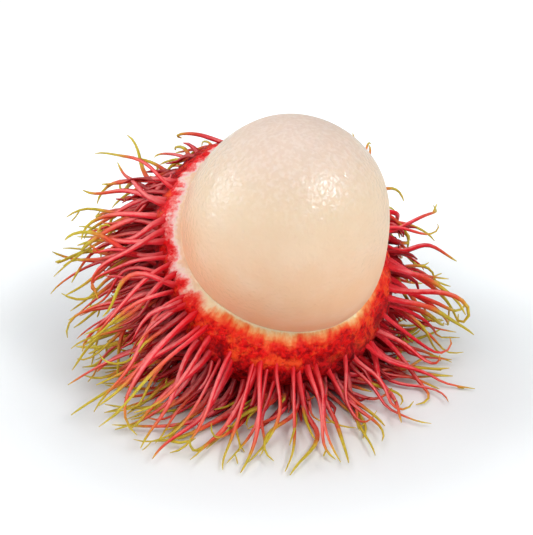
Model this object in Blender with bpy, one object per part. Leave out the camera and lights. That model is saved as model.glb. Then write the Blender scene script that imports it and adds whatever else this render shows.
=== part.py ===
"""A half-peeled rambutan: the lower cup of its leathery rind, covered with soft spines, and the ball
of flesh that sits in the cup and stands out of it. The fruit leans, and stands on its spines.

Run it in Blender 4.5: blender --background --python part.py
Units are metres, +Z is up, and the surface that the fruit stands on is the plane z = 0.
"""

import math

import bmesh
import bpy
from mathutils import Matrix, Vector

MM = 0.001

# The flesh is an ellipsoid, longer from stem to tip than it is wide.
FLESH_RADIUS = 15.3 * MM
FLESH_HALF_LENGTH = 17.8 * MM
FLESH_SEGMENTS = 40
FLESH_RINGS = 20

# The rind is a cup around it, thicker at the stem end. Its rim rises and falls by RIM_TILT about
# RIM_LEVEL, and is highest RIM_HIGH_ANGLE round the fruit's long axis.
FIT_GAP = 0.3 * MM
RIND_THICKNESS = 2.6 * MM
STEM_END_THICKNESS = 4.6 * MM
INNER_RADIUS = FLESH_RADIUS + FIT_GAP
INNER_HALF_LENGTH = FLESH_HALF_LENGTH + FIT_GAP
OUTER_RADIUS = INNER_RADIUS + RIND_THICKNESS
OUTER_HALF_LENGTH = INNER_HALF_LENGTH + STEM_END_THICKNESS
RIM_LEVEL = -4.8 * MM
RIM_TILT = 2.0 * MM
RIM_HIGH_ANGLE = math.radians(96)
RIM_POINTS = 48
INNER_WALL_RINGS = 7

# How the fruit stands: its long axis leans from upright, towards a heading measured from +X.
LEAN = math.radians(35.0)
HEADING = math.radians(-57.0)
RIND_ABOVE_FLOOR = 4.4 * MM

# Spines grow from square roots spread evenly over the skin, each turned by the golden angle.
SPINE_COUNT = 140
GOLDEN_ANGLE = math.pi * (3.0 - math.sqrt(5.0))
HIGHEST_ROOT_BELOW_RIM = 1.5 * MM
SPINE_LENGTH = 16.8 * MM
LENGTH_VARIATION = 0.10
UNDERSIDE_SHORTENING = 0.32
FRONT_LENGTHENING = 0.45
ROOT_HALF_WIDTH = 0.92 * MM
MIDDLE_HALF_WIDTH = 0.62 * MM
TIP_HALF_WIDTH = 0.38 * MM
SPINE_STEPS = 5
DROOP = 0.30
LEAN_FROM_RIM = 0.16
SPLAY_UNDER_FRUIT = 1.15

RIND_COLOUR = (0.62, 0.02, 0.03, 1.0)
FLESH_COLOUR = (0.86, 0.70, 0.54, 1.0)


def clear_scene():
    for old in list(bpy.data.objects):
        bpy.data.objects.remove(old, do_unlink=True)


def surface_material(name, colour, roughness):
    material = bpy.data.materials.new(name)
    material.use_nodes = True
    shader = material.node_tree.nodes["Principled BSDF"]
    shader.inputs["Base Color"].default_value = colour
    shader.inputs["Roughness"].default_value = roughness
    shader.inputs["Metallic"].default_value = 0.0
    return material


def height_above_middle(radius, half_length):
    """Half the upright extent of a leaning ellipsoid of revolution."""
    return math.hypot(half_length * math.cos(LEAN), radius * math.sin(LEAN))


def fruit_placement():
    """Carries the fruit's own frame, +Z along its axis and out of the cup, to where it stands."""
    middle = RIND_ABOVE_FLOOR + height_above_middle(OUTER_RADIUS, OUTER_HALF_LENGTH)
    turn = Matrix.Rotation(HEADING, 4, "Z") @ Matrix.Rotation(LEAN, 4, "Y")
    return Matrix.Translation((0.0, 0.0, middle)) @ turn


def on_outer_skin(point):
    """The point moved along its radius onto the rind's outer ellipsoid."""
    flat = Vector((point.x / OUTER_RADIUS, point.y / OUTER_RADIUS, point.z / OUTER_HALF_LENGTH))
    return point / flat.length


def rim_level(around):
    """The rim's height along the fruit's long axis, at an angle round that axis."""
    return RIM_LEVEL + RIM_TILT * math.cos(around - RIM_HIGH_ANGLE)


def ellipsoid_point(radius, half_length, around, level):
    """The point of an ellipsoid of revolution at an angle round its axis and a height along it."""
    ring_radius = radius * math.sqrt(1.0 - (level / half_length) ** 2)
    return Vector((ring_radius * math.cos(around), ring_radius * math.sin(around), level))


def skin_frame(index):
    """The middle of one spine's root, with the skin's outward normal and two directions in it."""
    around = index * GOLDEN_ANGLE
    span = OUTER_HALF_LENGTH + rim_level(around) - HIGHEST_ROOT_BELOW_RIM
    level = -OUTER_HALF_LENGTH + span * (index + 0.5) / SPINE_COUNT
    root = ellipsoid_point(OUTER_RADIUS, OUTER_HALF_LENGTH, around, level)
    normal = Vector(
        (root.x / OUTER_RADIUS**2, root.y / OUTER_RADIUS**2, root.z / OUTER_HALF_LENGTH**2)
    ).normalized()
    sideways = Vector((-math.sin(around), math.cos(around), 0.0))
    return root, normal, sideways, normal.cross(sideways)


def spine_half_width(along):
    """Half the spine's width, from its root at 0 to its tip at 1."""
    if along < 0.25:
        return ROOT_HALF_WIDTH + (MIDDLE_HALF_WIDTH - ROOT_HALF_WIDTH) * along / 0.25
    return MIDDLE_HALF_WIDTH + (TIP_HALF_WIDTH - MIDDLE_HALF_WIDTH) * (along - 0.25) / 0.75


def spine_path(index, place):
    """A function of the share of the spine's length, giving the middle of the spine there. The spine
    leaves the skin square to it, droops, and under the fruit it splays out along the floor. The
    spines towards the front, -Y, are the longest, and those behind the fruit the shortest."""
    root, normal, _, _ = skin_frame(index)
    start = place @ root
    outward = (place.to_3x3() @ normal).normalized()
    cup_bottom = place.to_3x3() @ Vector((0.0, 0.0, -1.0))
    lean = cup_bottom - outward * cup_bottom.dot(outward)
    sideways_out = Vector((start.x, start.y, 0.0)).normalized()
    facing_down = max(0.0, -outward.z)
    bend = (
        Vector((0.0, 0.0, -DROOP))
        + lean * LEAN_FROM_RIM
        + sideways_out * SPLAY_UNDER_FRUIT * facing_down**1.5
    )
    length = SPINE_LENGTH * (1.0 + LENGTH_VARIATION * math.sin(2.4 * index))
    length *= 1.0 - UNDERSIDE_SHORTENING * facing_down
    length *= 1.0 - FRONT_LENGTHENING * outward.y

    def middle_at(along):
        point = start + (outward * along + bend * along**2) * length
        point.z = max(point.z, spine_half_width(along) * 0.7)
        return point

    return middle_at


def grow_spine(bm, face_verts, index, place):
    """Carries a square of skin along the spine's path in steps, and closes it at a point."""
    middle_at = spine_path(index, place)
    ring = list(face_verts)
    root_middle = sum((v.co for v in ring), Vector()) / 4
    corner_turns = [(v.co - root_middle).normalized() for v in ring]
    heading = (middle_at(0.02) - middle_at(0.0)).normalized()
    for step in range(1, SPINE_STEPS):
        along = step / SPINE_STEPS
        middle = middle_at(along)
        new_heading = (middle_at(along + 0.02) - middle_at(along - 0.02)).normalized()
        turn = heading.rotation_difference(new_heading)
        heading = new_heading
        new_ring = []
        for corner in range(4):
            corner_turns[corner] = turn @ corner_turns[corner]
            offset = corner_turns[corner] * spine_half_width(along) * math.sqrt(2.0)
            new_ring.append(bm.verts.new(on_or_above_floor(middle + offset)))
        for corner in range(4):
            following = (corner + 1) % 4
            bm.faces.new((ring[corner], ring[following], new_ring[following], new_ring[corner]))
        ring = new_ring
    tip = bm.verts.new(on_or_above_floor(middle_at(1.0)))
    for corner in range(4):
        bm.faces.new((ring[corner], ring[(corner + 1) % 4], tip))


def on_or_above_floor(point):
    """Spines that lie on the floor are pressed flat there, so their undersides are plane."""
    return Vector((point.x, point.y, max(point.z, 0.0)))


def root_square(bm, index, place):
    """Four skin vertices around one root, in order around it."""
    root, _, sideways, upwards = skin_frame(index)
    corners = []
    for across, up in ((-1, -1), (1, -1), (1, 1), (-1, 1)):
        corner = root + (sideways * across + upwards * up) * ROOT_HALF_WIDTH
        corners.append(bm.verts.new(place @ on_outer_skin(corner)))
    return corners


def rim_angles():
    return [2 * math.pi * n / RIM_POINTS for n in range(RIM_POINTS)]


def outer_rim(bm, place):
    ring = []
    for around in rim_angles():
        point = ellipsoid_point(OUTER_RADIUS, OUTER_HALF_LENGTH, around, rim_level(around))
        ring.append(bm.verts.new(place @ point))
    return ring


def inner_ring(bm, depth, place):
    """A ring of the cup's smooth inside, from the rim at depth 0 to the bottom at depth 1."""
    ring = []
    for around in rim_angles():
        rim_angle = math.acos(-rim_level(around) / INNER_HALF_LENGTH)
        level = -INNER_HALF_LENGTH * math.cos(rim_angle * (1.0 - depth))
        point = ellipsoid_point(INNER_RADIUS, INNER_HALF_LENGTH, around, level)
        ring.append(bm.verts.new(place @ point))
    return ring


def add_inner_wall(bm, rim, place):
    """The band across the rim, and the smooth inside of the cup down to its bottom."""
    above = rim
    for ring in range(INNER_WALL_RINGS):
        below = inner_ring(bm, ring / INNER_WALL_RINGS, place)
        for n in range(RIM_POINTS):
            following = (n + 1) % RIM_POINTS
            bm.faces.new((above[n], above[following], below[following], below[n]))
        above = below
    bottom = bm.verts.new(place @ Vector((0.0, 0.0, -INNER_HALF_LENGTH)))
    for n in range(RIM_POINTS):
        bm.faces.new((above[n], above[(n + 1) % RIM_POINTS], bottom))


def rind_mesh(place):
    bm = bmesh.new()
    roots = [root_square(bm, index, place) for index in range(SPINE_COUNT)]
    rim = outer_rim(bm, place)
    bmesh.ops.convex_hull(bm, input=bm.verts[:], use_existing_faces=False)
    rim_set = set(rim)
    lid = [face for face in bm.faces if rim_set.issuperset(face.verts)]
    bmesh.ops.delete(bm, geom=lid, context="FACES")
    for index, square in enumerate(roots):
        inside = [face for face in bm.faces if set(square).issuperset(face.verts)]
        bmesh.ops.delete(bm, geom=inside, context="FACES")
        grow_spine(bm, square, index, place)
    add_inner_wall(bm, rim, place)
    bmesh.ops.recalc_face_normals(bm, faces=bm.faces[:])
    mesh = bpy.data.meshes.new("rind")
    bm.to_mesh(mesh)
    bm.free()
    return mesh


def flesh_mesh():
    bm = bmesh.new()
    bmesh.ops.create_uvsphere(
        bm, u_segments=FLESH_SEGMENTS, v_segments=FLESH_RINGS, radius=FLESH_RADIUS
    )
    stretch = FLESH_HALF_LENGTH / FLESH_RADIUS
    bmesh.ops.scale(bm, vec=(1.0, 1.0, stretch), verts=bm.verts[:])
    mesh = bpy.data.meshes.new("flesh")
    bm.to_mesh(mesh)
    bm.free()
    mesh.shade_smooth()
    return mesh


def add_object(name, mesh, material, parent):
    mesh.materials.append(material)
    added = bpy.data.objects.new(name, mesh)
    added.parent = parent
    bpy.context.scene.collection.objects.link(added)
    return added


def build():
    clear_scene()
    place = fruit_placement()
    standing = bpy.data.objects.new("standing_fruit", None)
    bpy.context.scene.collection.objects.link(standing)

    rind_finish = surface_material("rind_skin", RIND_COLOUR, 0.45)
    rind = add_object("rind", rind_mesh(place), rind_finish, standing)
    flesh_finish = surface_material("flesh", FLESH_COLOUR, 0.3)
    flesh = add_object("flesh", flesh_mesh(), flesh_finish, standing)
    flesh.matrix_local = place

    # The origin lies under the middle of the footprint of the spines.
    spread_x = [v.co.x for v in rind.data.vertices]
    spread_y = [v.co.y for v in rind.data.vertices]
    standing.location.x = -(min(spread_x) + max(spread_x)) / 2
    standing.location.y = -(min(spread_y) + max(spread_y)) / 2


build()
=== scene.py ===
"""Half-peeled rambutan: a hairy red cup of rind with the pale, wet flesh standing out of it.

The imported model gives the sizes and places. This script makes the finished surfaces around it:
the torn rind with its swellings, the soft spines that grow from them, and the flesh.
"""
import math

import bmesh
import bpy
import numpy as np
from mathutils import Matrix, Vector, noise


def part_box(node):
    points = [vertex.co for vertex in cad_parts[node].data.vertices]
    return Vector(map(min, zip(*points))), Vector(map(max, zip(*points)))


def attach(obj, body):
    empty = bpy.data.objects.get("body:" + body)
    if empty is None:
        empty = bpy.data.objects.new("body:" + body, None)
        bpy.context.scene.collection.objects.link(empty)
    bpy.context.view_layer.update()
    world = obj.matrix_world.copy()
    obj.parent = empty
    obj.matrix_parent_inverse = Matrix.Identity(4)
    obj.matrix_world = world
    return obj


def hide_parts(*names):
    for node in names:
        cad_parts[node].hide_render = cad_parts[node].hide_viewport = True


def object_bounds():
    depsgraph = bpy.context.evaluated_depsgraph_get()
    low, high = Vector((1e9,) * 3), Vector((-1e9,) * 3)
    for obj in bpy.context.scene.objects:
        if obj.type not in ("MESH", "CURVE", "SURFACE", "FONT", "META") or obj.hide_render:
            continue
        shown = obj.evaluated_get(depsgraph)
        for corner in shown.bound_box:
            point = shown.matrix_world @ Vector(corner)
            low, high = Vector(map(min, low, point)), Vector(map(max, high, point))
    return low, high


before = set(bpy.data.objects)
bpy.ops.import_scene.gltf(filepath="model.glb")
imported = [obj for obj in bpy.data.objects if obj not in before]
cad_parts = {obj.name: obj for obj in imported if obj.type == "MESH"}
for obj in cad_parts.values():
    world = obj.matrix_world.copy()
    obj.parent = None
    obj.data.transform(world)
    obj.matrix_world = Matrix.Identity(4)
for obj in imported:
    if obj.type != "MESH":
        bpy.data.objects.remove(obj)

CAD_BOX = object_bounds()
MM = 0.001
SEED = 90

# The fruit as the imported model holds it
FLESH_RADIUS = 15.3 * MM
FLESH_HALF_LENGTH = 17.8 * MM
SKIN_RADIUS = 18.2 * MM
SKIN_HALF_LENGTH = 22.7 * MM
RIM_LEVEL = -4.8 * MM
RIM_TILT = 2.4 * MM
RIM_HIGH_SIDE = np.array([0.83, 0.24, 0.50])
RIM_TONGUE = 3.2 * MM
TONGUE_SIDE = np.array([-0.70, 0.52, 0.49])
LEAN = math.radians(35.0)
HEADING = math.radians(-57.0)

FLESH_LOW, FLESH_HIGH = (np.array(corner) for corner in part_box("flesh"))
FLESH_CENTRE = (FLESH_LOW + FLESH_HIGH) / 2
CUP_TURN = np.array(Matrix.Rotation(HEADING, 3, "Z") @ Matrix.Rotation(LEAN, 3, "Y"))
CUP_AXIS = CUP_TURN[:, 2]

# The wet side of the flesh, where its pores glisten, and the size of those pores
WET_SIDE = (-0.19, -0.66, 0.72)
PORE_SIZE = 0.66 * MM
PORE_DEPTH = 0.25 * MM
DULL_PORE_DEPTH = 0.16 * MM
WET_SHARE = 0.50
LEAST_WET_SHARE = 0.06
FLESH_IOR = 1.38

# Where the soft flesh bulges or is pressed in: direction, height and angular width of each place
FLESH_BULGES = (
    ((0.616, -0.458, -0.649), 1.3 * MM, math.radians(28)),
    ((-0.574, -0.472, -0.676), -0.2 * MM, math.radians(25)),
    ((-0.035, 0.469, 0.882), 0.4 * MM, math.radians(25)),
    ((0.999, 0.016, 0.031), -0.5 * MM, math.radians(25)),
)

# Rind: the mesh
AROUND = 440
SKIN_ROWS = 96
LIP_ROWS = 34
LINING_ROWS = 14
POLE_GAP = 0.012

# Rind: the torn lip between the skin and the flesh
LINING_GAP = 0.12 * MM
LIP_OVERLAP = 0.3 * MM
LIP_DROP = 2.2 * MM
LIP_RISE = -0.1 * MM
LIP_CURVE = 1.9
LIP_INNER_DROP = 0.15 * MM
MEMBRANE_RIDGE = 0.16 * MM
MEMBRANE_PLACE = 0.90
MEMBRANE_WIDTH = 0.06
RIM_WANDER = 0.35 * MM
RIM_NICK = 0.10 * MM
NOTCH_DEPTH = 0.6 * MM
LEFT_LIP_RISE = 0.4 * MM
TORN_LUMP_HEIGHT, TORN_LUMP_SIZE = 0.30 * MM, 1.3 * MM
TORN_GRAIN_HEIGHT, TORN_GRAIN_SIZE = 0.18 * MM, 0.5 * MM

# Rind: the skin, swollen around each spine, thicker in front and thinner on the left
MOUND_HEIGHT = 1.7 * MM
MOUND_RADIUS = 1.30 * MM
EDGE_FADE = 3.0 * MM
FRONT_SWELL = 3.0 * MM
LEFT_THINNING = 1.3 * MM
SKIN_CLEARANCE = 0.4 * MM
SWELL_FADE = 6.5 * MM
LEFT = np.array([-0.93, 0.14, 0.34])
FRONT = np.array([0.25, -0.47, -0.85])
FRONT_LEFT = np.array([-0.54, -0.47, -0.70])

# Spines: how many roots are laid out up to the rim's highest point, before those above the torn
# edge are dropped, and where they sit. The short ones between the long ones are called stubs here
SPINE_COUNT = 700
STUB_COUNT = 1450
STUB_DROP = 1.6 * MM
BARE_BAND = 4.5 * MM
BARE_FACING = 0.45
EXPOSED_BAND = (0.3 * MM, 6 * MM)
GOLDEN_ANGLE = math.pi * (3 - math.sqrt(5))
ROOT_JITTER = 0.40 * MM
TOP_ROOT_DROP = 1.35 * MM
FRONT_ROOT_DROP = 1.7 * MM
ROOT_DEPTH = 1.2 * MM
ROOT_TUCK = 0.9 * MM
TUCKED_BAND = 1.8 * MM

# Spines: length, by place and by chance
SPINE_LENGTH = 18.6 * MM
LENGTH_RANGE = (0.80, 1.16)
STUB_REACH = 0.62
FRONT_LENGTHENING = 0.42
BACK_SHORTENING = 0.36
UNDER_SHORTENING = 0.34
BOX_SLACK = 1.4 * MM
SHRINK = 0.95
SHRINK_TRIES = 14

# Spines: how they bend on their way
STRAND_POINTS = 16
DROOP = 0.80
UPWARD_DROOP = 0.8
DROOP_RANGE = (0.5, 1.5)
COMB = np.array([-0.34, 0.0, 0.0])
FORWARD = np.array([0.0, -0.45, 0.0])
SPLAY = 1.5
WILD_SHARE = 0.11
HOOK = 5.0
WILD_HOOK = 12.0
WAVE_RANGE = (0.6, 4.6)
WAVE_COUNT_RANGE = (0.7, 1.6)
SKIN_GAP = 0.9 * MM
LANDING = 3.0 * MM
REST_RANGE_MM = (0.35, 1.7)

# Spines: prongs and skin
FORKED_SHARE = 0.16
PRONG_POINTS = 7
PRONG_RANGE_MM = (1.3, 3.0)
FLARE_RATE = 11.0
SPINE_RIDGES = 3
SPINE_SIZES = {"Root Radius": 1.45 * MM, "Middle Radius": 0.38 * MM, "Tip Radius": 0.17 * MM,
               "Ridge Depth": 0.26, "Twist": 2.4}
# Spines are painted pale on the side facing this way and dark on the side away from it: painted highlight
# and shade
PAINTED_LIGHT_SIDE = (-0.30, -0.45, 0.84)

# Camera
CAMERA_ELEVATION = math.radians(28)
CAMERA_DISTANCE = 0.42
FRAME_WIDTH = 0.080
TARGET_FROM_FLESH = Vector((-2.91 * MM, 1.97 * MM, -8.22 * MM))
SENSOR_WIDTH = 36.0

# Studio: softboxes only light, and the cooler glint lamps only show as highlights on the flesh
LAMP_COLOUR = (1.0, 1.0, 1.0)
GLINT_COLOUR = (0.76, 0.90, 1.0)
LEFT_LAMP = (-0.952, 0.12, 0.30)
RIGHT_LAMP = (0.54, -0.46, 0.69)
TOP_LAMP = (0.0, 0.33, 0.945)
FRONT_LAMP = (-0.25, -0.45, 0.86)
LEFT_GLINT_STEP = (0.0, 0.14, 0.12)
RIGHT_GLINT_STEP = (0.16, 0.05, 0.0)
SIDE_DISTANCE = 0.6
TOP_DISTANCE = 0.7
FRONT_DISTANCE = 0.8
SOFTBOX_SIZE = (0.24, 0.22)
GLINT_SIZE = (0.07, 0.07)
WORLD_LIGHT = 0.36
FLOOR_HALF_SIDE = 8.0
FLOOR_GLOW = 0.75
# Close round the fruit, across SHADOW_RANGE, the floor's glow falls from NEAR_GLOW to none: a painted
# shadow
NEAR_GLOW = (0.4, 0.4, 0.4, 1)
SHADOW_RANGE = (28 * MM, 64 * MM)
FAR_RANGE = (120 * MM, 900 * MM)


def unit(vectors):
    """Each vector at length 1."""
    return vectors / np.linalg.norm(vectors, axis=-1, keepdims=True)


def to_world(points):
    """From the cup's own frame, whose Z axis is the fruit's axis, to the world."""
    return FLESH_CENTRE + points @ CUP_TURN.T


def to_cup(points):
    """From the world to the cup's own frame."""
    return (points - FLESH_CENTRE) @ CUP_TURN


def smooth(low, high, value):
    """0 below low, 1 above high, smooth between."""
    t = np.clip((value - low) / (high - low), 0, 1)
    return t * t * (3 - 2 * t)


def bulge(directions):
    """How far the flesh stands out from its ellipsoid along each unit direction from its centre."""
    height = np.zeros(len(directions))
    for towards, amount, width in FLESH_BULGES:
        towards = np.array(towards) / np.linalg.norm(towards)
        away = np.arccos(np.clip(directions @ towards, -1, 1))
        height += amount * np.exp(-(away / width) ** 2)
    return height


def with_bulges(points):
    """Points of the cup's frame that lie about the flesh's ellipsoid, moved as the flesh bulges."""
    directions = unit(points)
    return points + directions * bulge(directions @ CUP_TURN.T)[:, None]


def paint(red, green, blue):
    """A display colour, 0 to 255, as the linear colour a shader takes."""
    channels = [value / 255 for value in (red, green, blue)]
    linear = [v / 12.92 if v <= 0.04045 else ((v + 0.055) / 1.055) ** 2.4 for v in channels]
    return (*linear, 1.0)


def grain(points, size, octaves=3, shift=0.0):
    """Smooth noise about zero at each point, with features of the given size."""
    offset = Vector((shift, -shift, 2 * shift))
    return np.array([noise.fractal(Vector(p) / size + offset, 0.8, 2.1, octaves) for p in points])


# ---------------------------------------------------------------- node wiring

class Wire:
    """An output socket; arithmetic on it adds Math nodes to its tree."""

    def __init__(self, bench, socket):
        self.bench, self.socket = bench, socket

    def __add__(self, other):
        return self.bench.maths("ADD", self, other)

    def __sub__(self, other):
        return self.bench.maths("SUBTRACT", self, other)

    def __mul__(self, other):
        return self.bench.maths("MULTIPLY", self, other)

    def __truediv__(self, other):
        return self.bench.maths("DIVIDE", self, other)

    def __radd__(self, other):
        return self.bench.maths("ADD", other, self)

    def __rsub__(self, other):
        return self.bench.maths("SUBTRACT", other, self)

    def __rmul__(self, other):
        return self.bench.maths("MULTIPLY", other, self)

    def __rpow__(self, other):
        return self.bench.maths("POWER", other, self)


def find_socket(sockets, name):
    """A socket by its place, its identifier or its name."""
    if isinstance(name, int):
        return sockets[name]
    return next(s for s in sockets if name in (s.identifier, s.name) and not s.is_unavailable)


class Bench:
    """A node tree being wired, for a material or for Geometry Nodes."""

    def __init__(self, tree):
        self.tree = tree

    def node(self, kind, settings=None, inputs=None, output=0):
        """Adds a node: its type, its settings, then its inputs. Returns one of its outputs."""
        made = self.tree.nodes.new(kind)
        for name, value in (settings or {}).items():
            if name == "stops":
                self.set_stops(made.color_ramp, value)
            else:
                setattr(made, name, value)
        for name, value in (inputs or {}).items():
            socket = find_socket(made.inputs, name)
            if isinstance(value, Wire):
                self.tree.links.new(value.socket, socket)
            else:
                socket.default_value = value
        return Wire(self, find_socket(made.outputs, output)) if len(made.outputs) else None

    @staticmethod
    def set_stops(ramp, stops):
        while len(ramp.elements) < len(stops):
            ramp.elements.new(0.5)
        for element, (position, colour) in zip(ramp.elements, stops):
            element.position, element.color = position, colour

    def maths(self, operation, *values):
        return self.node("ShaderNodeMath", {"operation": operation}, dict(enumerate(values)))

    def step(self, value, low, high):
        """0 below low, 1 above high, smooth between."""
        return self.node("ShaderNodeMapRange", {"interpolation_type": "SMOOTHSTEP"},
                         {"Value": value, "From Min": low, "From Max": high})

    def mix(self, factor, first, second, blend="MIX"):
        return self.node("ShaderNodeMix", {"data_type": "RGBA", "blend_type": blend},
                         {"Factor_Float": factor, "A_Color": first, "B_Color": second}, "Result_Color")

    def vector(self, operation, first, second, output=0):
        return self.node("ShaderNodeVectorMath", {"operation": operation}, {0: first, 1: second}, output)

    def attribute(self, name, output="Fac"):
        return self.node("ShaderNodeAttribute", {"attribute_name": name}, output=output)

    def noise(self, place, size, detail=2.0, roughness=0.5, distortion=0.0):
        """Noise about 0.5, its features about the given size in metres."""
        return self.node("ShaderNodeTexNoise", inputs={
            "Vector": place, "Scale": 1 / size, "Detail": detail, "Roughness": roughness,
            "Distortion": distortion})

    def bump(self, height, depth, strength=1.0, after=None):
        inputs = {"Height": height, "Distance": depth, "Strength": strength}
        if after is not None:
            inputs["Normal"] = after
        return self.node("ShaderNodeBump", inputs=inputs)


def new_material(name):
    """An empty material and the bench for its nodes."""
    material = bpy.data.materials.new(name)
    material.use_nodes = True
    material.node_tree.nodes.clear()
    return material, Bench(material.node_tree)


def surface(bench, **shader_inputs):
    """One Principled shader; underscores in the names stand for spaces."""
    inputs = {name.replace("_", " "): value for name, value in shader_inputs.items()}
    return bench.node("ShaderNodeBsdfPrincipled", inputs=inputs)


def finish_material(bench, shader):
    """Makes the shader the material's surface."""
    bench.node("ShaderNodeOutputMaterial", inputs={"Surface": shader})


# ---------------------------------------------------------------- materials

def flesh_material():
    """Pale flesh, faintly mottled, with wet pores on one side. Its colour holds painted light: peach
    low down and near the rind as red light bounced from it, cooler grey on top as the light from
    above, and pale glints painted on the pores of its top.
    """
    material, bench = new_material("wet_flesh")
    place = bench.node("ShaderNodeTexCoord", output="Object")
    centred = bench.vector("SUBTRACT", place, tuple(FLESH_CENTRE))
    up = bench.vector("DOT_PRODUCT", centred, (0, 0, 1), "Value") / FLESH_HALF_LENGTH
    along_cup = bench.vector("DOT_PRODUCT", centred, tuple(CUP_AXIS), "Value") / FLESH_HALF_LENGTH

    patches = bench.noise(centred, 5 * MM, 3.0)
    cloud = bench.noise(centred, 11 * MM, 2.0)
    # Painted light by height: peach low down, as red light bounced up from the rind, and cooler and
    # greyer on top, as the light falling from above
    body = bench.mix(bench.step(up + (cloud - 0.5) * 0.25, -0.55, 0.65),
                     paint(238, 190, 151), paint(229, 205, 176))
    body = bench.mix(bench.step(up, 0.45, 1.0), body, paint(225, 202, 187))
    # Painted bounce light: warmer peach near the rind all round, as red light thrown on the flesh from
    # the rind
    painted_rind_bounce = bench.step(along_cup + (patches - 0.5) * 0.12, 0.25, -0.34)
    body = bench.mix(painted_rind_bounce * 0.55, body, paint(234, 170, 126))
    body = bench.mix(bench.step(patches, 0.35, 0.75) * 0.12, body, paint(250, 236, 220))
    pores = bench.noise(centred, PORE_SIZE, 1.0, 0.5)
    # Painted glints: pale dots on the pores of the upper part
    painted_top_glints = bench.step(pores, 0.40, 0.68) * bench.step(up, 0.30, 0.75)
    body = bench.mix(painted_top_glints * 0.22, body, paint(250, 238, 230))

    soft = {"Base_Color": body, "Subsurface_Weight": 0.35, "Subsurface_Radius": (1.0, 0.62, 0.40),
            "Subsurface_Scale": 2.5 * MM}
    faint = bench.bump(pores * bench.step(up, 0.45, 0.80), DULL_PORE_DEPTH)
    damp = surface(bench, Roughness=0.50, Specular_IOR_Level=0.16, IOR=FLESH_IOR, Normal=faint, **soft)
    clear = bench.bump(pores, PORE_DEPTH)
    wet = surface(bench, Roughness=0.15, Specular_IOR_Level=0.5, IOR=FLESH_IOR, Normal=clear, **soft)
    facing = bench.vector("DOT_PRODUCT", centred, WET_SIDE, "Value") / FLESH_RADIUS
    slick = bench.step(facing + (patches - 0.5) * 0.30, 0.05, 0.45)
    dry_top = bench.step(up, 0.86, 0.68)
    wetness = (LEAST_WET_SHARE + slick * WET_SHARE) * dry_top
    finish_material(bench, bench.node("ShaderNodeMixShader", inputs={"Fac": wetness, 1: damp, 2: wet}))
    return material


def rind_material():
    """Dark red skin, brighter near the tear, with painted shade in its hollows and pits and painted
    highlights on its raised fluff and grains, then the torn lip: orange to cream in front and red
    to pinkish white on the left. The mesh's "cut" runs from -1 on the skin through 0 at the tear to
    1 at the flesh, "pale" is 1 on the left, and "lining" is 1 under the flesh."""
    material, bench = new_material("torn_rind")
    place = bench.node("ShaderNodeTexCoord", output="Object")
    cut = bench.attribute("cut")
    lining = bench.attribute("lining")
    pale = bench.attribute("pale")
    around = bench.attribute("around", "Vector")

    fibre = bench.noise(place, 0.45 * MM, 4.0, 0.62)
    blotch = bench.noise(place, 2.4 * MM, 3.0, 0.55)
    fluff = bench.noise(place, 0.8 * MM, 4.0, 0.6, 0.6)
    grains = bench.node("ShaderNodeTexVoronoi", {"feature": "F1"},
                        {"Vector": place, "Scale": 1 / (0.75 * MM)}, "Distance")

    near_edge = bench.step(cut + (blotch - 0.5) * 0.5, -0.72, -0.10)
    # Painted shade: darker in the hollows of the fluff and lighter on its raised parts, with dark pits
    # painted as the shade between the bumps
    skin = bench.mix(bench.step(fluff, 0.36, 0.62), paint(112, 0, 8), paint(196, 4, 14))
    skin = bench.mix(bench.step(blotch, 0.46, 0.36) * 0.65, skin, paint(64, 0, 6))
    # Painted highlights near the tear: lighter on the raised fluff and on the tops of the grains
    bright = bench.step(fluff - grains * 0.25, 0.22, 0.46)
    bright = bench.mix(bright, paint(176, 0, 6), paint(234, 16, 12))
    orange = bench.step(blotch + (fibre - 0.5) * 0.4, 0.46, 0.64)
    bright = bench.mix(orange * 0.85, bright, paint(252, 84, 34))
    skin = bench.mix(near_edge, skin, bright)

    outwards = bench.node("ShaderNodeCombineXYZ", inputs={"Z": cut * (1.3 * MM)})
    tongue = bench.noise(bench.vector("ADD", around, outwards), 3.0 * MM, 4.0, 0.60)
    uneven = ((tongue - 0.5) * (1.4 + pale * 0.5) + (fibre - 0.5) * (0.16 + pale * 0.5)
              + (blotch - 0.5) * 0.8)
    ragged = cut + uneven + pale * 0.42 - 0.10
    warm = bench.node("ShaderNodeValToRGB", {"stops": (
        (0.00, paint(226, 10, 10)), (0.22, paint(242, 48, 24)), (0.40, paint(250, 106, 54)),
        (0.56, paint(253, 158, 94)), (0.72, paint(255, 204, 144)), (0.90, paint(255, 236, 196)))},
        {"Fac": ragged}, "Color")
    pink = bench.node("ShaderNodeValToRGB", {"stops": (
        (0.06, paint(222, 4, 16)), (0.26, paint(236, 28, 34)), (0.44, paint(248, 122, 118)),
        (0.64, paint(254, 206, 202)), (0.80, paint(252, 222, 206)),
        (0.96, paint(248, 208, 176)))},
        {"Fac": ragged}, "Color")
    flesh_side = bench.mix(pale, warm, pink)
    membrane = bench.step(cut + (fibre - 0.5) * 0.06, 0.80, 0.88)
    flesh_side = bench.mix(membrane * (1.0 - pale * 0.6), flesh_side, paint(255, 236, 200))
    colour = bench.mix(bench.step(ragged, 0.02, 0.20), skin, flesh_side)
    colour = bench.mix(lining, colour, paint(248, 226, 196))

    relief = bench.bump(grains, -0.22 * MM, 0.7)
    relief = bench.bump(fluff, 0.28 * MM, 0.8, relief)
    relief = bench.bump(tongue + fibre, 0.10 * MM, 0.6, relief)
    roughness = 0.50 - bench.step(cut, 0.5, 0.9) * 0.16
    finish_material(bench, surface(
        bench, Base_Color=colour, Roughness=roughness, Normal=relief, IOR=1.22,
        Subsurface_Weight=0.15, Subsurface_Radius=(1.0, 0.25, 0.12), Subsurface_Scale=1.2 * MM))
    return material


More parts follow.
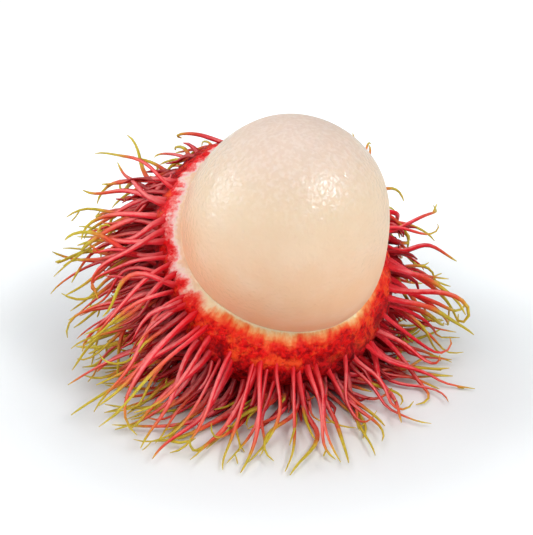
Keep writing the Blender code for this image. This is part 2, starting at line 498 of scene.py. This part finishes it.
def spine_material():
    """Red spines that turn orange and then yellowish green towards their tips. Their colour holds
    painted light: a pale streak on the side facing the lamps and pale ridges as highlights, and
    painted shade on the side away from the lamps, in the grooves, at the roots deep below the rim
    and on the stubs. On the mesh "along" runs from 0 at the root to 1 at the tip, "ripening" says
    where the green starts, "shade" is the spine's own tone, made darker as painted shade deep below
    the rim and below 0 for stubs, and "exposure" is 1 near the torn rim."""
    material, bench = new_material("spine_skin")
    place = bench.node("ShaderNodeTexCoord", output="Object")
    along = bench.attribute("along")
    shade = bench.attribute("shade")
    ripening = bench.attribute("ripening")

    streak = bench.noise(place, 0.8 * MM, 3.0, 0.6)
    blush = bench.noise(place, 3.5 * MM, 2.0)
    red = bench.mix(shade, paint(212, 0, 18), paint(255, 34, 52))
    red = bench.mix(bench.step(blush, 0.44, 0.70) * 0.45, red, paint(252, 104, 118))
    # Painted shade at the roots: dark crimson deep below the rim, bright red near it
    painted_root_shade = bench.mix(bench.attribute("exposure"), paint(140, 0, 10), paint(222, 6, 14))
    red = bench.mix(bench.step(along, 0.30, 0.06) * 0.9, red, painted_root_shade)
    # Painted light: the ridges of each spine are painted pale pink as highlights, and the grooves between
    # them darker as shade
    ridge = bench.attribute("ridge")
    # Painted light: a pale pink streak on the side of each spine facing the lamps, and painted shade on
    # the side away from them
    sunny = bench.attribute("sunny")
    red = bench.mix(ridge * 0.3, bench.mix(0.2, red, paint(160, 0, 10)), paint(255, 92, 104))
    red = bench.mix(bench.step(sunny, 0.1, -0.8) * 0.75, red, paint(150, 0, 12))
    painted_highlight_streaks = bench.step(sunny + (streak - 0.5) * 0.6, 0.45, 0.95) * bench.step(along, 0.05, 0.35)
    red = bench.mix(painted_highlight_streaks * 0.75, red, paint(255, 150, 148))
    # Painted shade: the stubs are painted dark crimson, in the thick of the spines
    red = bench.mix(bench.step(shade, -0.2, -1.0) * 0.85, red, paint(130, 0, 8))

    turning = along - ripening + (streak - 0.5) * 0.10
    orange = bench.mix(bench.step(turning, -0.34, 0.02) * 0.9, red, paint(226, 100, 58))
    green = bench.mix(streak, paint(172, 160, 26), paint(228, 202, 84))
    colour = bench.mix(bench.step(turning, -0.10, 0.08), orange, green)

    relief = bench.bump(streak, 0.06 * MM, 0.7)
    roughness = 0.34 + (streak - 0.5) * 0.2
    finish_material(bench, surface(
        bench, Base_Color=colour, Roughness=roughness, Normal=relief, IOR=1.18,
        Specular_IOR_Level=0.35, Subsurface_Weight=0.15, Subsurface_Radius=(1.0, 0.3, 0.2),
        Subsurface_Scale=0.8 * MM))
    return material


def floor_material():
    """Pale floor that glows away from the fruit, so that it fades into the white background; close
    round the fruit the glow is dimmed and then gone, a painted shadow. The glow isn't sampled as a
    lamp."""
    material, bench = new_material("pale_floor")
    material.cycles.emission_sampling = "NONE"
    place = bench.node("ShaderNodeTexCoord", output="Object")
    cloud = bench.noise(place, 0.2, 2.0)
    colour = bench.mix(cloud, paint(232, 237, 240), paint(238, 242, 244))
    away = bench.vector("LENGTH", place, (0, 0, 0), "Value")
    # Painted shadow: no glow close round the fruit, and a dim glow out to the far range
    glow = bench.mix(bench.step(away, *SHADOW_RANGE), (0, 0, 0, 1), NEAR_GLOW)
    glow = bench.mix(bench.step(away, *FAR_RANGE), glow, (1, 1, 1, 1))
    finish_material(bench, surface(
        bench, Base_Color=colour, Roughness=0.7, Emission_Color=glow, Emission_Strength=FLOOR_GLOW))
    return material


# ---------------------------------------------------------------- meshes

def add_mesh(name, points, faces=(), edges=(), attributes=None, material=None):
    """A new object from points, with smooth faces and one value or vector per point by name."""
    mesh = bpy.data.meshes.new(name)
    mesh.from_pydata(np.asarray(points).tolist(), list(edges), list(faces))
    for label, values in (attributes or {}).items():
        values = np.asarray(values, dtype=np.float32)
        kind, field = ("FLOAT", "value") if values.ndim == 1 else ("FLOAT_VECTOR", "vector")
        mesh.attributes.new(label, kind, "POINT").data.foreach_set(field, values.ravel())
    if faces:
        mesh.polygons.foreach_set("use_smooth", [True] * len(mesh.polygons))
    if material:
        mesh.materials.append(material)
    piece = bpy.data.objects.new(name, mesh)
    bpy.context.scene.collection.objects.link(piece)
    return piece


def ride_as(piece, node):
    """Fixes a piece to the fruit in the place of a CAD node."""
    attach(piece, "root")
    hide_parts(node)


def flesh_piece():
    """The bared fruit flesh: an egg with faint swellings."""
    ball = bmesh.new()
    bmesh.ops.create_icosphere(ball, subdivisions=7, radius=1.0)
    points = np.array([v.co[:] for v in ball.verts])
    faces = [[v.index for v in face.verts] for face in ball.faces]
    ball.free()
    swell = 1 + 0.005 * grain(points, 0.9, 2, 3.1) + 0.0010 * grain(points, 0.16, 2, 7.7)
    shaped = with_bulges(points * (FLESH_RADIUS, FLESH_RADIUS, FLESH_HALF_LENGTH))
    return add_mesh("flesh_aril", to_world(shaped * swell[:, None]), faces, material=flesh_material())


def rim_level(ring):
    """Height of the torn rim along the cup's axis, for unit directions square to that axis."""
    facing = ring @ CUP_TURN.T
    tongue = RIM_TONGUE * smooth(0.55, 1.0, facing @ TONGUE_SIDE)
    return RIM_LEVEL + RIM_TILT * (facing @ RIM_HIGH_SIDE) + tongue


def skin_swell(ring, below_edge):
    """How much thicker the rind is than even, by its direction round the cup and depth below the rim."""
    facing = ring @ CUP_TURN.T
    deep = 1 - (1 - np.clip(below_edge / SWELL_FADE, 0, 1)) ** 2
    front = smooth(0.0, 0.9, facing @ FRONT)
    left_side = smooth(0.2, 0.9, facing @ LEFT)
    return FRONT_SWELL * front * (0.2 + 0.8 * deep) - LEFT_THINNING * left_side * (1 - deep)


def spine_roots(count, highest, rng):
    """Root points on the skin, in the cup's own frame, with the outward direction of each and its
    distance down from the highest level where spines grow."""
    index = np.arange(count)
    span = SKIN_HALF_LENGTH + RIM_LEVEL + RIM_TILT + RIM_TONGUE - TOP_ROOT_DROP
    level = -SKIN_HALF_LENGTH + span * (index + 0.5) / count
    angle = index * GOLDEN_ANGLE
    radius = SKIN_RADIUS * np.sqrt(1 - (level / SKIN_HALF_LENGTH) ** 2)
    roots = np.stack([radius * np.cos(angle), radius * np.sin(angle), level], axis=1)
    roots += rng.normal(0, ROOT_JITTER, roots.shape)
    shape = np.array([SKIN_RADIUS, SKIN_RADIUS, SKIN_HALF_LENGTH])
    roots = shape * unit(roots / shape)
    ring = unit(roots * (1, 1, 0))
    outward = unit(roots / shape ** 2)
    facing_front = ring @ CUP_TURN.T @ FRONT
    edge = rim_level(ring) - TOP_ROOT_DROP - FRONT_ROOT_DROP * smooth(0.2, 0.95, facing_front)
    below_edge = edge - roots[:, 2]
    roots += outward * skin_swell(ring, rim_level(ring) - LIP_DROP - roots[:, 2])[:, None]
    roots[:, 2] -= ROOT_TUCK * (1 - smooth(0, TUCKED_BAND, below_edge))
    kept = below_edge > highest
    return roots[kept], outward[kept], below_edge[kept]


def rind_piece(roots):
    """The torn cup: outer skin with a swelling at each root, ragged lip, and smooth lining."""
    angle = np.arange(AROUND) * 2 * math.pi / AROUND
    ring = np.stack([np.cos(angle), np.sin(angle), np.zeros(AROUND)], axis=1)
    wander = grain(ring, 0.45, 3, 1.0)
    nick = grain(ring, 0.06, 3, 5.0)
    facing = ring @ CUP_TURN.T
    left_side = smooth(0.15, 0.85, facing @ LEFT)
    notch = smooth(0.3, 1.0, facing @ FRONT_LEFT)
    skin_shape = np.array([SKIN_RADIUS, SKIN_RADIUS, SKIN_HALF_LENGTH])

    rows, cut, lining = [], [], []

    def add_row(row, cut_value, lining_value):
        rows.append(row)
        cut.append(np.broadcast_to(cut_value, AROUND))
        lining.append(np.full(AROUND, lining_value))

    def ellipse_row(radius, half_length, turn):
        row = ring * (radius * np.cos(turn))[:, None]
        row[:, 2] = half_length * np.sin(turn)
        return row

    inner_level = rim_level(ring) + LIP_RISE + RIM_WANDER * wander + RIM_NICK * nick - NOTCH_DEPTH * notch
    outer_level = inner_level - LIP_DROP + LEFT_LIP_RISE * left_side - 4 * RIM_NICK * nick
    edge_turn = np.arcsin(outer_level / SKIN_HALF_LENGTH)
    for row in range(SKIN_ROWS):
        share = POLE_GAP + (1 - POLE_GAP) * row / (SKIN_ROWS - 1)
        turn = -math.pi / 2 + (edge_turn + math.pi / 2) * share
        skin_row = ellipse_row(SKIN_RADIUS, SKIN_HALF_LENGTH, turn)
        below_edge = outer_level - skin_row[:, 2]
        outward = unit(skin_row / skin_shape ** 2)
        skin_row += outward * skin_swell(ring, below_edge)[:, None]
        add_row(skin_row, -np.clip(below_edge / EDGE_FADE, 0, 1), 0.0)

    lip_outside = rows[-1]
    inner_turn = np.arcsin(inner_level / FLESH_HALF_LENGTH)
    lip_inside = with_bulges(ellipse_row(FLESH_RADIUS - LIP_OVERLAP, FLESH_HALF_LENGTH, inner_turn))
    for row in range(1, LIP_ROWS + 1):
        share = row / LIP_ROWS
        lip = lip_outside + (lip_inside - lip_outside) * share
        rise = 1 - (1 - share) ** LIP_CURVE
        lip[:, 2] = lip_outside[:, 2] + (lip_inside[:, 2] - lip_outside[:, 2]) * rise
        ridge = MEMBRANE_RIDGE * math.exp(-((share - MEMBRANE_PLACE) / MEMBRANE_WIDTH) ** 2)
        lip[:, 2] += ridge * (1 + 0.4 * wander) - LIP_INNER_DROP * smooth(0.94, 1.0, share)
        add_row(lip, share, 0.0)
    for row in range(1, LINING_ROWS + 1):
        share = row / LINING_ROWS * (1 - POLE_GAP)
        turn = inner_turn + (-math.pi / 2 - inner_turn) * share
        lined = ellipse_row(FLESH_RADIUS + LINING_GAP, FLESH_HALF_LENGTH + LINING_GAP, turn)
        add_row(with_bulges(lined), 1.0, 1.0)

    points = np.concatenate(rows)
    cut, lining = np.concatenate(cut), np.concatenate(lining)
    pale = np.tile(left_side, len(rows))
    around = np.tile(ring * SKIN_RADIUS, (len(rows), 1))

    outward = unit(points / skin_shape ** 2)
    gap = np.linalg.norm(points[:, None, :] - roots[None, :, :], axis=2)
    mound = np.exp(-(gap / MOUND_RADIUS) ** 2).sum(axis=1).clip(0, 1)
    on_skin = (1 - smooth(0.0, 0.30, cut)) * (1 - lining)
    lumps = grain(points, TORN_LUMP_SIZE, 3, 2.0)
    fine = grain(points, TORN_GRAIN_SIZE, 3, 9.0)
    lift = on_skin * MOUND_HEIGHT * mound * (0.30 + 0.70 * smooth(0.0, 0.9, -cut))
    torn = (1 - smooth(0.35, 0.85, cut)) * (1 - lining)
    lift += torn * (TORN_LUMP_HEIGHT * np.maximum(lumps, -0.6) + TORN_GRAIN_HEIGHT * fine)
    points = to_world(points + outward * lift[:, None])
    points[:, 2] = np.maximum(points[:, 2], SKIN_CLEARANCE)

    faces = []
    for row in range(len(rows) - 1):
        for i in range(AROUND):
            j = (i + 1) % AROUND
            low, high = row * AROUND, (row + 1) * AROUND
            faces.append((low + i, low + j, high + j, high + i))
    outer_pole, inner_pole = len(points), len(points) + 1
    bottom = np.array([[0, 0, -FLESH_HALF_LENGTH - LINING_GAP]])
    poles = to_world(np.concatenate([[(0, 0, -SKIN_HALF_LENGTH)], with_bulges(bottom)]))
    points = np.concatenate([points, poles])
    last = (len(rows) - 1) * AROUND
    for i in range(AROUND):
        j = (i + 1) % AROUND
        faces.append((outer_pole, j, i))
        faces.append((last + i, last + j, inner_pole))
    at_poles = {"cut": (cut, [0, 1]), "lining": (lining, [0, 1]), "pale": (pale, [0, 0]),
                "around": (around, np.zeros((2, 3)))}
    attributes = {label: np.concatenate(values) for label, values in at_poles.items()}
    return add_mesh("rind_cup", points, faces, attributes=attributes, material=rind_material())


def turned(vectors, axes, angles):
    """Each vector turned about its unit axis by its angle."""
    cosine, sine = np.cos(angles)[:, None], np.sin(angles)[:, None]
    across = np.cross(axes, vectors)
    share = (axes * vectors).sum(axis=1, keepdims=True)
    return vectors * cosine + across * sine + axes * share * (1 - cosine)


def clear_of_skin(points, clearance):
    """Points pushed out to the given clearance over the rind's skin."""
    local = to_cup(points)
    ring = unit(local * (1, 1, 0))
    swell = skin_swell(ring, rim_level(ring) - LIP_DROP - local[:, 2])
    shape = np.array([[SKIN_RADIUS, SKIN_RADIUS, SKIN_HALF_LENGTH]]) + (clearance + swell)[:, None]
    inside = np.linalg.norm(local / shape, axis=1)
    scale = np.where(inside < 1, 1 / np.maximum(inside, 1e-6), 1.0)
    return to_world(local * scale[:, None])


def grow_paths(starts, headings, reach, traits):
    """Walks every spine from its root: it droops, waves, hooks at its end and lies down on the floor."""
    steps = STRAND_POINTS - 1
    heading, point = headings.copy(), starts.copy()
    paths = [point.copy()]
    for k in range(steps):
        t = (k + 0.5) / steps
        pull = traits["sag"][:, None] * (0.15 + 1.7 * t) * np.array([0, 0, -1.0]) + traits["flow"]
        heading = unit(heading + pull / steps)
        heading = turned(heading, traits["hook_axis"], traits["hook"] * smooth(0.62, 0.95, t) / steps)
        wave = traits["wave"] * np.cos(2 * math.pi * (traits["waves"] * t + traits["phase"]))
        heading = turned(heading, traits["wave_axis"], wave / steps)
        height = point[:, 2] - traits["rest"]
        heading[:, 2] = np.maximum(heading[:, 2], -height / LANDING)
        heading = unit(heading)
        point = point + heading * (reach / steps)[:, None]
        point = clear_of_skin(point, min(SKIN_GAP, 2.0 * MM * t))
        point[:, 2] = np.maximum(point[:, 2], traits["rest"])
        paths.append(point.copy())
    return np.stack(paths, axis=1)


def spine_paths(roots, outward, stub, rng):
    """The points along every spine: it heads outwards, leans the way its neighbours are combed,
    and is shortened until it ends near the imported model's box or inside it."""
    count = len(roots)
    start = to_world(roots - outward * ROOT_DEPTH)
    out = outward @ CUP_TURN.T
    sideways = (start - FLESH_CENTRE) * (1, 1, 0)
    sideways = unit(sideways + rng.normal(0, 0.6 * MM, (count, 3)) * (1, 1, 0))
    facing_down = np.maximum(0, -out[:, 2])
    wild = rng.random(count) < WILD_SHARE
    reach = SPINE_LENGTH * rng.uniform(*LENGTH_RANGE, count)
    reach *= 1 - UNDER_SHORTENING * smooth(0.88, 1.0, facing_down)
    front = smooth(0.2, 0.9, -out[:, 1])
    behind = smooth(0.1, 0.8, out[:, 1])
    reach *= 1 + FRONT_LENGTHENING * front - BACK_SHORTENING * behind
    reach *= np.where(stub, STUB_REACH, 1.0)
    traits = {
        "sag": (DROOP + UPWARD_DROOP * np.maximum(0, out[:, 2])) * rng.uniform(*DROOP_RANGE, count),
        "flow": (sideways * (SPLAY * facing_down ** 1.5)[:, None] + COMB + front[:, None] * FORWARD
                 + rng.normal(0, 0.40, (count, 3)) * (1 - 0.5 * front)[:, None]),
        "hook": rng.normal(0, 1, count) * np.where(wild, WILD_HOOK, HOOK) * (1 - 0.6 * front),
        "hook_axis": unit(rng.normal(0, 1, (count, 3))),
        "wave": rng.uniform(*WAVE_RANGE, count) * (1 - 0.5 * front),
        "waves": rng.uniform(*WAVE_COUNT_RANGE, count),
        "phase": rng.uniform(0, 1, count),
        "wave_axis": unit(rng.normal(0, 1, (count, 3))),
        "rest": rng.uniform(*REST_RANGE_MM, count) * MM,
    }
    heading = out + rng.normal(0, 0.14, (count, 3))
    heading[:, 2] -= (0.25 + 2.0 * behind) * np.maximum(0, out[:, 2])
    heading = unit(heading)
    low, high = (np.array(corner) for corner in CAD_BOX)
    low, high = low - BOX_SLACK, high + BOX_SLACK
    for _ in range(SHRINK_TRIES):
        paths = grow_paths(start, heading, reach, traits)
        outside = ((paths < low) | (paths > high)).any(axis=(1, 2))
        if not outside.any():
            break
        reach = np.where(outside, reach * SHRINK, reach)
    return paths


def fork_paths(paths, stub, rng):
    """Short prongs beside the ends of some spines: (points, first share, spine number) for each."""
    prongs = []
    for number, path in enumerate(paths):
        if rng.random() > FORKED_SHARE or stub[number]:
            continue
        k = int(rng.integers(int(STRAND_POINTS * 0.74), STRAND_POINTS - 2))
        along = unit(path[k + 1] - path[k - 1])
        aside = unit(np.cross(along, rng.normal(0, 1, 3)))
        length = rng.uniform(*PRONG_RANGE_MM) * MM
        share = np.linspace(0, 1, PRONG_POINTS)[:, None]
        points = path[k] + length * (along * 0.75 * share + aside * (0.75 * share - 0.2 * share ** 2))
        points[:, 2] = np.maximum(points[:, 2], 0.3 * MM)
        prongs.append((points, k / (STRAND_POINTS - 1), number))
    return prongs


def strand_tree(material):
    """Geometry Nodes: a ridged, tapering skin around each strand of points."""
    tree = bpy.data.node_groups.new("grow_spines", "GeometryNodeTree")
    tree.interface.new_socket("Strands", in_out="INPUT", socket_type="NodeSocketGeometry")
    for name in SPINE_SIZES:
        tree.interface.new_socket(name, in_out="INPUT", socket_type="NodeSocketFloat")
    tree.interface.new_socket("Ridges", in_out="INPUT", socket_type="NodeSocketInt")
    tree.interface.new_socket("Spines", in_out="OUTPUT", socket_type="NodeSocketGeometry")
    bench = Bench(tree)
    entry = tree.nodes.new("NodeGroupInput")
    given = {s.name: Wire(bench, s) for s in entry.outputs if s.name}
    along, girth, exposure = (
        bench.node("GeometryNodeInputNamedAttribute", {"data_type": "FLOAT"}, {"Name": name}, "Attribute")
        for name in ("along", "girth", "exposure"))

    curves = bench.node("GeometryNodeMeshToCurve", inputs={"Mesh": given["Strands"]})
    tilt = along * given["Twist"]
    curves = bench.node("GeometryNodeSetCurveTilt", inputs={"Curve": curves, "Tilt": tilt})
    flare = 2.718 ** (along * -FLARE_RATE)
    narrowing = bench.step(along, 0.45, 1.0)
    radius = given["Middle Radius"] + (given["Tip Radius"] - given["Middle Radius"]) * narrowing
    flare = flare * (1 - exposure * 0.5)
    radius = (radius + (given["Root Radius"] - given["Middle Radius"]) * flare) * girth
    radius = radius * (0.3 + 0.7 * bench.step(along, 0.0, 0.05))
    profile = bench.node("GeometryNodeCurveStar", inputs={
        "Points": given["Ridges"], "Inner Radius": 1 - given["Ridge Depth"], "Outer Radius": 1.0},
        output="Curve")
    on_ridge = Wire(bench, profile.socket.node.outputs["Outer Points"])
    profile = bench.node("GeometryNodeStoreNamedAttribute", {"data_type": "FLOAT"},
                         {"Geometry": profile, "Name": "ridge", "Value": on_ridge})
    skin = bench.node("GeometryNodeCurveToMesh", inputs={
        "Curve": curves, "Profile Curve": profile, "Scale": radius, "Fill Caps": True})
    # How far each point faces the painted light side, for the spines' painted highlight and shade
    normal = bench.node("GeometryNodeInputNormal")
    sunny = bench.vector("DOT_PRODUCT", normal, PAINTED_LIGHT_SIDE, "Value")
    skin = bench.node("GeometryNodeStoreNamedAttribute", {"data_type": "FLOAT"},
                      {"Geometry": skin, "Name": "sunny", "Value": sunny})
    skin = bench.node("GeometryNodeSetShadeSmooth", inputs={"Geometry": skin})
    skin = bench.node("GeometryNodeRealizeInstances", inputs={"Geometry": skin})
    skin = bench.node("GeometryNodeSetMaterial", inputs={"Geometry": skin, "Material": material})
    bench.node("NodeGroupOutput", inputs={"Spines": skin})
    return tree, {**SPINE_SIZES, "Ridges": SPINE_RIDGES}


def apply_tree(guide, name, tree, values):
    """Runs a Geometry Nodes tree on a guide object and keeps the result as a plain mesh piece."""
    modifier = guide.modifiers.new("tree", "NODES")
    modifier.node_group = tree
    for item in tree.interface.items_tree:
        if item.in_out == "INPUT" and item.name in values:
            modifier[item.identifier] = values[item.name]
    graph = bpy.context.evaluated_depsgraph_get()
    mesh = bpy.data.meshes.new_from_object(guide.evaluated_get(graph), depsgraph=graph)
    mesh.name = name
    bpy.data.objects.remove(guide)
    piece = bpy.data.objects.new(name, mesh)
    bpy.context.scene.collection.objects.link(piece)
    return piece


def strand_piece(name, strands, traits, skin):
    """Grows one piece from (points, first share, spine number) strands and the traits by number."""
    points, edges = [], []
    rows = {"along": [], "girth": [], **{label: [] for label in traits if label != "girth"}}
    for path, first, number in strands:
        size = len(path)
        edges += [(len(points) + i, len(points) + i + 1) for i in range(size - 1)]
        points += path.tolist()
        rows["along"] += np.linspace(first, 1, size).tolist()
        thick = traits["girth"][number] * (1.0 if first == 0 else 0.8)
        rows["girth"] += [thick] * (size - 1) + [thick * 0.4]
        for label in traits:
            if label != "girth":
                rows[label] += [traits[label][number]] * size
    guide = add_mesh(name + "_guides", points, edges=edges, attributes=rows)
    return apply_tree(guide, name, *strand_tree(skin))


def spine_pieces(roots, outward, below_edge, stub):
    """The two pieces of spines. Stubs are left out in front just below the lip, where skin shows."""
    rng = np.random.default_rng(SEED)
    paths = spine_paths(roots, outward, stub, rng)
    count = len(paths)
    exposure = 1 - smooth(*EXPOSED_BAND, below_edge)
    traits = {
        # Each spine's own tone, made darker the deeper its root sits below the rim as painted shade;
        # stubs get values below 0, which paint them dark as shade
        "shade": np.where(stub, rng.uniform(-1.0, -0.3, count),
                          rng.uniform(0, 1, count) * (0.5 + 0.5 * exposure)),
        "ripening": np.where(stub, rng.uniform(0.8, 1.6, count), rng.uniform(0.52, 1.0, count)),
        "exposure": exposure,
        "girth": rng.uniform(0.72, 1.22, count) * np.where(stub, 1.2, 1.0),
    }
    skin = spine_material()
    bare = (below_edge < BARE_BAND) & (outward @ CUP_TURN.T @ FRONT > BARE_FACING)
    short = [(paths[n][::2], 0.0, n) for n in range(count) if stub[n] and not bare[n]]
    tall = [(paths[n], 0.0, n) for n in range(count) if not stub[n]] + fork_paths(paths, stub, rng)
    return (strand_piece("rind_spines", tall, traits, skin),
            strand_piece("rind_short_spines", short, traits, skin))


# ---------------------------------------------------------------- studio

def add_camera():
    """The camera looks along +Y, down on the fruit."""
    toward = Vector((0, -math.cos(CAMERA_ELEVATION), math.sin(CAMERA_ELEVATION)))
    target = Vector(FLESH_CENTRE) + TARGET_FROM_FLESH
    data = bpy.data.cameras.new("camera")
    data.sensor_width = SENSOR_WIDTH
    data.lens = SENSOR_WIDTH * CAMERA_DISTANCE / FRAME_WIDTH
    camera = bpy.data.objects.new("camera", data)
    camera.location = target + toward * CAMERA_DISTANCE
    camera.rotation_euler = (math.pi / 2 - CAMERA_ELEVATION, 0, 0)
    bpy.context.scene.collection.objects.link(camera)
    bpy.context.scene.camera = camera


def add_softbox(name, direction, distance, size, power, mirrored=True, lights=True):
    """An oval lamp aimed at the flesh. One that isn't mirrored gives no highlights; one that
    doesn't light gives nothing else."""
    data = bpy.data.lights.new(name, "AREA")
    data.shape, data.size, data.size_y = "ELLIPSE", size[0], size[1]
    data.energy = power
    data.color = LAMP_COLOUR if lights else GLINT_COLOUR
    lamp = bpy.data.objects.new(name, data)
    direction = Vector(direction).normalized()
    lamp.location = Vector(FLESH_CENTRE) + direction * distance
    lamp.rotation_euler = direction.to_track_quat("Z", "Y").to_euler()
    lamp.visible_glossy, lamp.visible_diffuse = mirrored, lights
    bpy.context.scene.collection.objects.link(lamp)


def add_glints(name, direction, step, power):
    """Three small lamps in a row, so that the wet pores mirror a cluster of dots."""
    for place in (-1, 0, 1):
        shifted = Vector(direction) + place * Vector(step)
        add_softbox(name, shifted, SIDE_DISTANCE, GLINT_SIZE, power, lights=False)


def add_studio():
    """Soft light, a pale floor, and a background that is plain white to the camera but dimmer
    as a source of light."""
    scene = bpy.context.scene
    scene.view_settings.view_transform = "Standard"
    world = bpy.data.worlds.new("studio")
    scene.world = world
    world.use_nodes = True
    world.cycles.sampling_method = "NONE"
    world.node_tree.nodes.clear()
    bench = Bench(world.node_tree)
    seen = bench.node("ShaderNodeLightPath", output="Is Camera Ray")
    strength = WORLD_LIGHT + seen * (1 - WORLD_LIGHT)
    light = bench.node("ShaderNodeBackground", inputs={"Color": (1, 1, 1, 1), "Strength": strength})
    bench.node("ShaderNodeOutputWorld", inputs={"Surface": light})

    add_softbox("left_softbox", LEFT_LAMP, SIDE_DISTANCE, SOFTBOX_SIZE, 1.1, mirrored=False)
    add_glints("left_glint", LEFT_LAMP, LEFT_GLINT_STEP, 0.9)
    add_softbox("right_softbox", RIGHT_LAMP, SIDE_DISTANCE, SOFTBOX_SIZE, 1.4, mirrored=False)
    add_glints("right_glint", RIGHT_LAMP, RIGHT_GLINT_STEP, 1.6)
    add_softbox("top_softbox", TOP_LAMP, TOP_DISTANCE, (0.24, 0.20), 0.5, mirrored=False)
    add_softbox("top_glint", TOP_LAMP, TOP_DISTANCE, (0.60, 0.34), 2.2, lights=False)
    add_softbox("front_softbox", FRONT_LAMP, FRONT_DISTANCE, (0.5, 0.4), 1.85, mirrored=False)

    side = FLOOR_HALF_SIDE
    corners = [(-side, -side, 0), (side, -side, 0), (side, side, 0), (-side, side, 0)]
    add_mesh("floor", corners, [(0, 1, 2, 3)], material=floor_material())


def build():
    """Makes the flesh, the rind around it with a swelling at each long spine, and the spines."""
    rng = np.random.default_rng(SEED + 1)
    long_spines = spine_roots(SPINE_COUNT, 0, rng)
    stubs = spine_roots(STUB_COUNT, STUB_DROP, rng)
    roots, outward, below_edge = (np.concatenate(pair) for pair in zip(long_spines, stubs))
    stub = np.arange(len(roots)) >= len(long_spines[0])
    ride_as(flesh_piece(), "flesh")
    ride_as(rind_piece(roots[~stub]), "rind")
    for piece in spine_pieces(roots, outward, below_edge, stub):
        ride_as(piece, "rind")
    add_studio()
    add_camera()


build()
